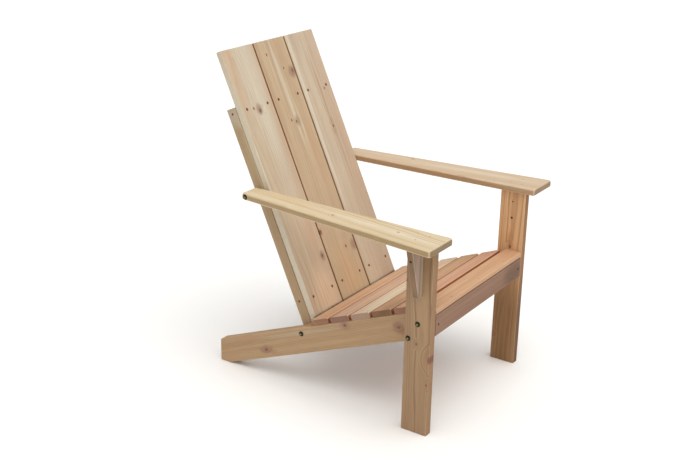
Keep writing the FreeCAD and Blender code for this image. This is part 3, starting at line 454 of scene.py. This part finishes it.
def cedar(board, early, blush, late, pith, slope=0.0, knots=(), patches=(), screws=None,
          seed=0.0, lines=0.5, sawn=SAWN_END, side_tint_and_shade=UNTINTED, grain=None):
    """Cedar for one board. pith is the tree's middle beside it, in mm, and slope its lean.
    knots are (across, along, size); patches are (across, along, width, length, strength,
    colour), for sapwood, heartwood stripes, stains and painted shade, or with two more
    numbers if only skin deep: the face and the depth; all in mm. sawn tints the ends, and
    side_tint_and_shade darkens the thin sides: partly their own tint where the rings meet the
    face at another angle, partly painted shade in the gaps and on sides that get less light."""
    middle, axes, size = board_axes(board, grain)
    material, tree = new_material("planed cedar, " + board.replace("_", " "))
    local, shift, facing = board_places(tree, middle, axes, seed)
    nearest = nearest_knot(tree, shift, knots)
    grown, line = growth_rings(tree, shift, nearest, pith, slope)
    colour, band = colour_bands(tree, shift, grown, seed, early, blush)
    if patches:
        colour = with_patches(tree, colour, shift, band, patches)
    colour, fibres = with_grain(tree, colour, shift, line, late, lines)
    colour, core = with_knots(tree, colour, nearest)
    if screws:
        colour = with_rust(tree, colour, local, screws)
    colour = with_ends_and_edges(tree, colour, facing, fibres, sawn, side_tint_and_shade)

    ridge = add(tree, "Math", {"operation": "MULTIPLY_ADD"}, {0: fibres, 1: FIBRE_STEP, 2: line})
    relief = add(tree, "Math", {"operation": "MULTIPLY_ADD"}, {0: core, 1: KNOT_STEP, 2: ridge})
    bump = add(tree, "Bump", {}, {"Height": relief, "Strength": RELIEF, "Distance": LATE_WOOD_STEP})
    rough = add(tree, "MapRange", {}, {"Value": fibres, "To Min": SANDED_SMOOTH, "To Max": SANDED_ROUGH})
    shader = add(tree, "BsdfPrincipled", {}, {"Base Color": colour, "Roughness": rough,
                                              "Normal": bump, "IOR": WOOD_IOR})
    add(tree, "OutputMaterial", {}, {"Surface": shader})
    dress(board, material)
    print(board, "middle", [round(c, 3) for c in middle], "size", [round(c, 3) for c in size])


print("late wood stands", LATE_WOOD_STEP / MM, "mm proud")

# %% [markdown]
# ## The back planks
# Three wide planks, each from another part of the tree: the chair owes its look to them.
# Sapwood runs up the first, a pale stripe up the middle of the second, and the third is
# pink and straight grained. Purple-grey stains lie round the larger knots. One noise could
# vary all three, but knots and stripes that are placed one by one look like boards that
# somebody chose.

# %% Back planks
SAP = "#DCD6C2"
CREASE_SHADE = "#5E4230"         # painted shade, a dark line in the crease where the back meets the seat
PURPLE = "#8E6A5C"
PLANK_SCREWS = (46, -315.5, 240.5)
# painted shade, skin deep, in a thin strip along the foot of each back plank
PLANK_CREASE = (0, -375, 4000, 20, 1.0, CREASE_SHADE, -9.5, 8)
PLANK_GAP_SHADE = "#D6AE86"  # painted shade on the planks' sides, in the gap between two planks

cedar("back_plank_right", "#CBB69A", "#C7AC90", "#A78C6E", pith=(-30, 95), slope=0.02, seed=1.3,
      lines=0.4, screws=PLANK_SCREWS, knots=[(-19, 238, 5), (5, 226, 9), (50, -223, 8)],
      patches=[(12, 310, 110, 560, 0.55, SAP), (20, 60, 70, 500, 0.3, SAP),
               (-72, 0, 16, 1600, 0.75, SAP), (-48, 330, 30, 300, 0.45, "#D6AC8C"),
               (2, 232, 34, 44, 0.6, PURPLE), (50, -223, 30, 40, 0.6, PURPLE),
               (34, -120, 40, 220, 0.4, "#CC9E7E"), (10, -330, 130, 220, 0.85, "#E2C4A2"),
               (-30, -200, 10, 500, 0.45, "#B99876"), PLANK_CREASE])
cedar("back_plank_middle", "#C8AF8D", "#BFA180", "#A28364", pith=(10, 70), slope=-0.015, seed=4.1,
      screws=PLANK_SCREWS, side_tint_and_shade=PLANK_GAP_SHADE,
      knots=[(-31, 372, 5), (23, 323, 5), (58, 309, 7), (-21, 172, 5), (-2, 165, 6), (22, -229, 6),
             (-68, -159, 10)],
      patches=[(-2, 260, 18, 420, 0.7, SAP), (18, 150, 12, 160, 0.4, SAP),
               (-26, 330, 8, 260, 0.4, SAP), (56, 307, 40, 48, 0.9, PURPLE),
               (60, -235, 36, 44, 0.7, PURPLE), (4, 166, 34, 44, 0.5, PURPLE),
               (0, -300, 110, 220, 0.45, "#D4A880"), (40, 60, 50, 300, 0.35, "#C79A74"),
               PLANK_CREASE])
cedar("back_plank_left", "#CDBAA0", "#C6AE94", "#AA8F72", pith=(60, 110), slope=0.012, seed=7.7,
      screws=PLANK_SCREWS, side_tint_and_shade=PLANK_GAP_SHADE, knots=[(33, 232, 5), (14, 116, 6), (40, -262, 5)],
      patches=[(-60, 200, 18, 900, 0.75, "#E2DCCC"), (12, 190, 9, 340, 0.6, "#B08464"),
               (18, 20, 9, 260, 0.5, "#B98E70"), (14, 116, 26, 70, 0.5, "#B08464"),
               (-30, 390, 50, 160, 0.45, "#B8A090"), (44, 0, 30, 700, 0.35, "#C8A284"),
               (-58, -170, 40, 120, 0.4, "#C4A090"), PLANK_CREASE])

# %% [markdown]
# ## The legs
# The two front legs differ more than any other pair. The right one is brown, with strong
# late wood lines and a large knot on its edge, and darker at the top: painted shade under
# the arm. The left one is golden at the top, partly its tone and partly painted light on
# its lit inner face, and dark below: painted shade under the seat. The thin edges of both
# are darkened with painted shade. A leg is wood all through, so the same recipe serves,
# with other colours and with its patches longer than the leg is wide.

# %% Front legs
cedar("right_front_leg", "#AE8D68", "#A48361", "#806145", pith=(18, 55), slope=0.03, seed=2.2,
      # the side tint is painted shade on the right leg's thin edges
      lines=0.9, side_tint_and_shade="#F2E8DC",
      knots=[(-38, 163, 7), (-1, -9, 6), (42, -46, 16), (35, -119, 6)],
      # the second patch is painted shade: it darkens the top of the leg under the arm
      patches=[(34, 120, 14, 500, 0.5, "#9C7452"), (0, 250, 120, 200, 0.45, "#86643F"),
               (39, -60, 40, 60, 0.45, "#B08660"), (-20, -220, 30, 120, 0.3, "#946C50")])
cedar("left_front_leg", "#EABF92", "#DCAE80", "#A87C52", pith=(8, 48), slope=-0.025, seed=5.5,
      # the side tint is painted shade on the left leg's thin edges
      lines=0.9, side_tint_and_shade="#B8A48C", knots=[(0, 99, 7), (-28, -190, 5)],
      # the second patch is painted shade: it darkens the whole lower leg, under the seat
      patches=[(0, 122, 20, 70, 0.5, "#A86A44"), (0, -190, 200, 520, 1.0, "#8A6640"),
               (30, -150, 10, 300, 0.4, "#A27A52")])

# %% [markdown]
# ## The side rails and back uprights
# Each long side rail is a back leg too. The right one shows its whole side, so its three
# purple-stained knots are placed one by one. The left one is half hidden and needs less.

# %% Side rails and back uprights
KNOT_HALO = "#A0643E"    # the rail's orange wood beside its knots
cedar("right_side_rail", "#B99872", "#B08E68", "#8F6F4D", pith=(-80, 60), slope=0.01, seed=5.2,
      lines=0.6, knots=[(-13, 200, 9), (27, -110, 8), (2, -284, 9)],
      patches=[(-12, 200, 32, 62, 0.75, PURPLE), (-20, 176, 16, 40, 0.5, KNOT_HALO),
               (27, -110, 28, 46, 0.75, PURPLE), (2, -284, 44, 52, 0.85, PURPLE),
               (-10, -296, 30, 40, 0.5, KNOT_HALO), (22, 60, 16, 400, 0.22, SAP),
               (30, 240, 10, 160, 0.4, "#C08A60")])
cedar("left_side_rail", "#BA966E", "#AE8860", "#8C6A48", pith=(-70, 50), slope=0.01, seed=8.5,
      knots=[(10, -60, 9)], patches=[(-20, 100, 20, 500, 0.4, SAP)])
cedar("right_back_upright", "#BBA37F", "#AE9470", "#8B6F4D", pith=(50, 70), seed=6.6,
      patches=[(-14, 320, 30, 80, 0.4, "#CDC6B6"), (-19, -100, 12, 500, 0.3, "#B08A68")])
cedar("left_back_upright", "#C0A480", "#B0926C", "#8E7050", pith=(40, 60), seed=9.9)

# %% [markdown]
# ## The arms and their brackets
# The arms are pale boards, and the right one has strong late wood lines. Each rests on a
# small bracket that is cut aslant. Its slanted edge would mislead the measuring of its
# axes, so its grain is told to run upwards.

# %% Arms and brackets
UPWARDS = Vector((0, 0, 1))
# the side tints on the arms and the right bracket darken their thin sides: partly their own tint, partly
# painted shade
cedar("right_armrest", "#D8C7A8", "#D2BF9B", "#B6996F", pith=(-40, -90), slope=0.02, seed=8.3,
      lines=0.85, sawn="#98866E", side_tint_and_shade="#D2C2AC", knots=[(22, 16, 5), (4, -188, 4)],
      patches=[(10, -150, 34, 460, 0.5, "#E6DCC6"), (-30, -60, 20, 500, 0.3, "#CDB48E"),
               (24, 130, 14, 300, 0.55, "#CFA272"), (38, -200, 10, 300, 0.45, "#C8A070"),
               (0, 230, 60, 200, 0.3, "#C8AE84")])
cedar("left_armrest", "#CEB99D", "#CAB092", "#AC8C68", pith=(-50, -80), slope=0.015, seed=11.6,
      side_tint_and_shade="#E4D2BC", knots=[(-35, 105, 5)], patches=[(-10, -100, 30, 500, 0.5, "#E0D4C0")])
cedar("right_arm_bracket", "#AE9882", "#A48C76", "#8C725A", pith=(30, 80), seed=9.4,
      side_tint_and_shade="#C4AC84", grain=UPWARDS,
      patches=[(22, 0, 16, 400, 0.7, "#C8BCA4"), (2, 10, 22, 300, 0.5, "#C0A498")])
cedar("left_arm_bracket", "#B89478", "#AA866A", "#86684E", pith=(35, 70), seed=12.7, grain=UPWARDS)

# %% [markdown]
# ## The seat slats
# Five slats lie behind the front one. They are offcuts of many boards, so their tones and
# their sawn ends all differ. But they were sawn alike: the pith lies now to one side and
# now to the other, and a little farther away each time. What they share is worked out in a
# loop, and only the colours and the patches are listed.

# %% Seat slats
# painted shade, skin deep, in a thin strip along the rear edge of the first slat, in the crease where
# the back meets the seat
SLAT_CREASE = (33, 0, 18, 4000, 1.0, CREASE_SHADE, 8.8, 8)
# painted shade on the slats' sides, which darkens the gaps between slats
SLAT_GAP_SHADE = "#C49A7A"
seat_slats = [
    ("#D0AB88", "#C69B7A", "#A47D5C", "#B49C8A", [(5, 60, 14, 500, 0.4, "#DCC0A4"), SLAT_CREASE]),
    ("#CDAA8F", "#C59C82", "#A47E62", "#A08684", [(-10, -80, 20, 300, 0.4, "#DEC4AA")]),
    ("#DECAAE", "#D8BC9E", "#B09272", "#BCA8A6", [(-8, -120, 50, 300, 0.6, "#DFD6BE"),
                                                  (0, 120, 60, 300, 0.4, "#CC9C7C")]),
    ("#C8A07C", "#BE946F", "#98704E", "#98825E", [(-10, -200, 60, 140, 0.5, "#A88460")]),
    ("#D0A080", "#C69476", "#A07456", "#AE9892", [(8, 0, 16, 500, 0.3, "#DCBC9E")])]
for number, (early, blush, late, sawn, patches) in enumerate(seat_slats, start=1):
    heart_side = 40 if number % 2 == 0 else -40
    cedar(f"seat_slat_{number}", early, blush, late, pith=(heart_side, 50 + 9 * number), slope=0.012,
          seed=round(1.7 * number, 1), side_tint_and_shade=SLAT_GAP_SHADE, sawn=sawn, patches=patches)

# %% [markdown]
# ## The front and the cross rails
# The apron under the front slat is the reddest and darkest board. The two rails behind the
# back hold its planks. Little of them shows from the front, so they need no patches.

# %% Front boards and cross rails
cedar("front_apron", "#946F57", "#8B654B", "#6B4A35", pith=(-60, 70), slope=0.01, seed=3.9,
      # the first patch is painted shade, darkening the apron's end beside the left leg
      patches=[(0, 200, 90, 150, 0.8, "#664830"), (-10, -60, 14, 400, 0.35, "#A4806C")])
cedar("front_seat_slat", "#CBA27D", "#C29673", "#A37955", pith=(90, 60), slope=0.01, seed=6.1,
      patches=[(0, 215, 70, 120, 0.4, "#C4886A"), (5, -100, 12, 300, 0.3, "#E0C09C")])
cedar("lower_back_rail", "#C4A27C", "#B98F6A", "#98734F", pith=(50, 60), seed=2.9)
cedar("upper_back_rail", "#C8A884", "#BC966E", "#9A7652", pith=(40, 55), seed=4.8)

# %% [markdown]
# ## Fasteners
# Barrel plating tumbles the bolts in a zinc bath and then a yellowing one, which leaves
# them a cloudy yellow-green. A painted glint, a pale patch on the middle of each bolt head,
# stands in for the highlight on its dome. The deck screws' brown ceramic coat is dull. Hot
# dip galvanising leaves the nails a mottled, half-dull grey. The three differ only in their
# colours, roughness and grain, so one recipe makes them all. A flat colour would look like
# plastic, so noise mottles colour, roughness and relief alike.

# %% Fastener metals
SKIN = 0.05 * MM         # how uneven the plating or coating is
SKIN_RELIEF = 0.3
SMOOTHER, ROUGHER = 0.1, 0.15        # how far the roughness strays from its middle
MOTTLE_LIGHT, MOTTLE_DARK = 0.35, 0.65       # the noise's values for the two colours
# a painted glint: faces of the zinc parts that look out along X are paled
GLINT_FROM, GLINT_TO, GLINT_STRENGTH = 0.95, 1.0, 0.8


def metal(name, light, dark, roughness, grain_mm, glint=None):
    """A plated or coated steel, mottled at the size of its crystals or handling marks.
    glint is the colour of a painted highlight on a bolt head's middle, which faces out sideways."""
    material, tree = new_material(name)
    place = add(tree, "TexCoord")
    mottle = add(tree, "TexNoise", {}, {"Vector": place.outputs["Object"],
                                        "Scale": 1 / (grain_mm * MM), "Detail": 4.0})
    spread = add(tree, "MapRange", {}, {"Value": mottle, "From Min": MOTTLE_LIGHT,
                                        "From Max": MOTTLE_DARK})
    colour = add(tree, "MixRGB", {}, {"Fac": spread, "Color1": linear(light), "Color2": linear(dark)})
    if glint:
        # painted glint: paler where a face looks out along X, as a bolt head's middle does
        facing = add(tree, "SeparateXYZ", {}, {"Vector": place.outputs["Normal"]})
        outward = add(tree, "Math", {"operation": "ABSOLUTE"}, {0: facing.outputs["X"]})
        painted_glint = add(tree, "MapRange", {"interpolation_type": "SMOOTHSTEP"},
                     {"Value": outward, "From Min": GLINT_FROM, "From Max": GLINT_TO,
                      "To Max": GLINT_STRENGTH})
        colour = add(tree, "MixRGB", {}, {"Fac": painted_glint, "Color1": colour, "Color2": linear(glint)})
    rough = add(tree, "MapRange", {}, {"Value": mottle, "To Min": roughness - SMOOTHER,
                                       "To Max": roughness + ROUGHER})
    bump = add(tree, "Bump", {}, {"Height": mottle, "Strength": SKIN_RELIEF, "Distance": SKIN})
    shader = add(tree, "BsdfPrincipled", {}, {"Base Color": colour, "Metallic": 1.0,
                                              "Roughness": rough, "Normal": bump})
    add(tree, "OutputMaterial", {}, {"Surface": shader})
    return material


zinc = metal("yellow zinc plate, barrel plated", "#4E4A30", "#22261A", 0.3, 2.5, glint="#A4A486")
screw_coat = metal("deck screw, brown ceramic coat", "#9C6444", "#5E3C2A", 0.5, 0.8)
galvanised = metal("hot dip galvanised nail", "#9A9890", "#6E6C66", 0.5, 1.2)
fasteners = {
    zinc: ("leg_bolts", "back_foot_bolts", "armrest_bolts", "bolt_washers", "bolt_nuts"),
    screw_coat: ("back_plank_screws", "cross_rail_screws", "apron_screws", "bracket_screws"),
    galvanised: ("seat_slat_nails", "armrest_nails")}
for material, names in fasteners.items():
    for name in names:
        dress(name, material)
    print(material.name + ":", ", ".join(names))

# %% [markdown]
# ## Floor
# A pale studio floor runs past the view. A curved backdrop is used in a real studio, but a
# plain wide plane does here, because no edge of it is seen. It is rolled with matt paint,
# which shows no reflection of the chair and only takes its soft shadow.

# %% Floor
FLOOR_WIDTH = 40         # in metres, past the edge of any view
ROLLER = 1000 * MM / 60  # a roller's stipple is 1 to 2 mm, drawn coarser to show
MATT_SMOOTH, MATT_ROUGH = 0.78, 0.82
bpy.ops.object.select_all(action="DESELECT")
bpy.ops.mesh.primitive_plane_add(size=FLOOR_WIDTH, location=(0, 0, 0))
floor = bpy.context.object
floor.name = "studio_floor"
floor_paint, tree = new_material("matt white studio paint, rolled")
place = add(tree, "TexCoord")
roller = add(tree, "TexNoise", {}, {"Vector": place.outputs["Object"], "Scale": 1 / ROLLER,
                                    "Detail": 2.0})
roller = add(tree, "MapRange", {}, {"Value": roller, "To Min": MATT_SMOOTH, "To Max": MATT_ROUGH})
paint = add(tree, "BsdfPrincipled", {}, {"Base Color": linear("#FAFAF9"), "Roughness": roller})
add(tree, "OutputMaterial", {}, {"Surface": paint})
floor.data.materials.append(floor_paint)
print("floor", FLOOR_WIDTH, "m wide, stipple", round(ROLLER / MM), "mm")

# %% [markdown]
# ## Light
# The chair stands under a large pale ceiling in a darker room: the surround is dim below
# and bright overhead, which lights the seat and the arms and leaves the boards below them
# in soft shade. A picture of a studio would do the same, but a slope of one value from
# floor to ceiling is easier to set. Two broad suns add a little direction to it.

# %% Surround
DIM, BRIGHT = 0.3, 0.95  # the surround's strength at the horizon and below, and overhead
world = bpy.context.scene.world or bpy.data.worlds.new("studio")
bpy.context.scene.world = world
world.use_nodes = True
surround = world.node_tree.nodes["Background"]
surround.inputs["Color"].default_value = linear("#F5F7FA")
direction = add(world.node_tree, "TexCoord")
height = add(world.node_tree, "SeparateXYZ", {}, {"Vector": direction.outputs["Generated"]})
ceiling = add(world.node_tree, "MapRange", {"interpolation_type": "SMOOTHSTEP"},
              {"Value": height.outputs["Z"], "To Min": DIM, "To Max": BRIGHT})
world.node_tree.links.new(ceiling.outputs["Result"], surround.inputs["Strength"])
print("surround from", DIM, "to", BRIGHT)


# %% Suns
def soft_sun(name, direction, strength, spread, colour):
    """A sun whose wide disc, spread degrees across, gives the soft shadows of a large diffuser."""
    lamp = bpy.data.objects.new(name, bpy.data.lights.new(name, "SUN"))
    lamp.data.energy = strength
    lamp.data.angle = math.radians(spread)
    lamp.data.color = linear(colour)[:3]
    lamp.rotation_euler = Vector(direction).to_track_quat("-Z", "Y").to_euler()
    bpy.context.scene.collection.objects.link(lamp)
    print("sun", name, "shines along", direction, "at strength", strength)


soft_sun("overhead", (0.2, 0.25, -1.0), 1.6, 60, "#FFFAF2")
soft_sun("front", (-0.3, 1.0, -0.6), 0.2, 50, "#FFFFFF")
bpy.context.scene.view_settings.view_transform = "Standard"
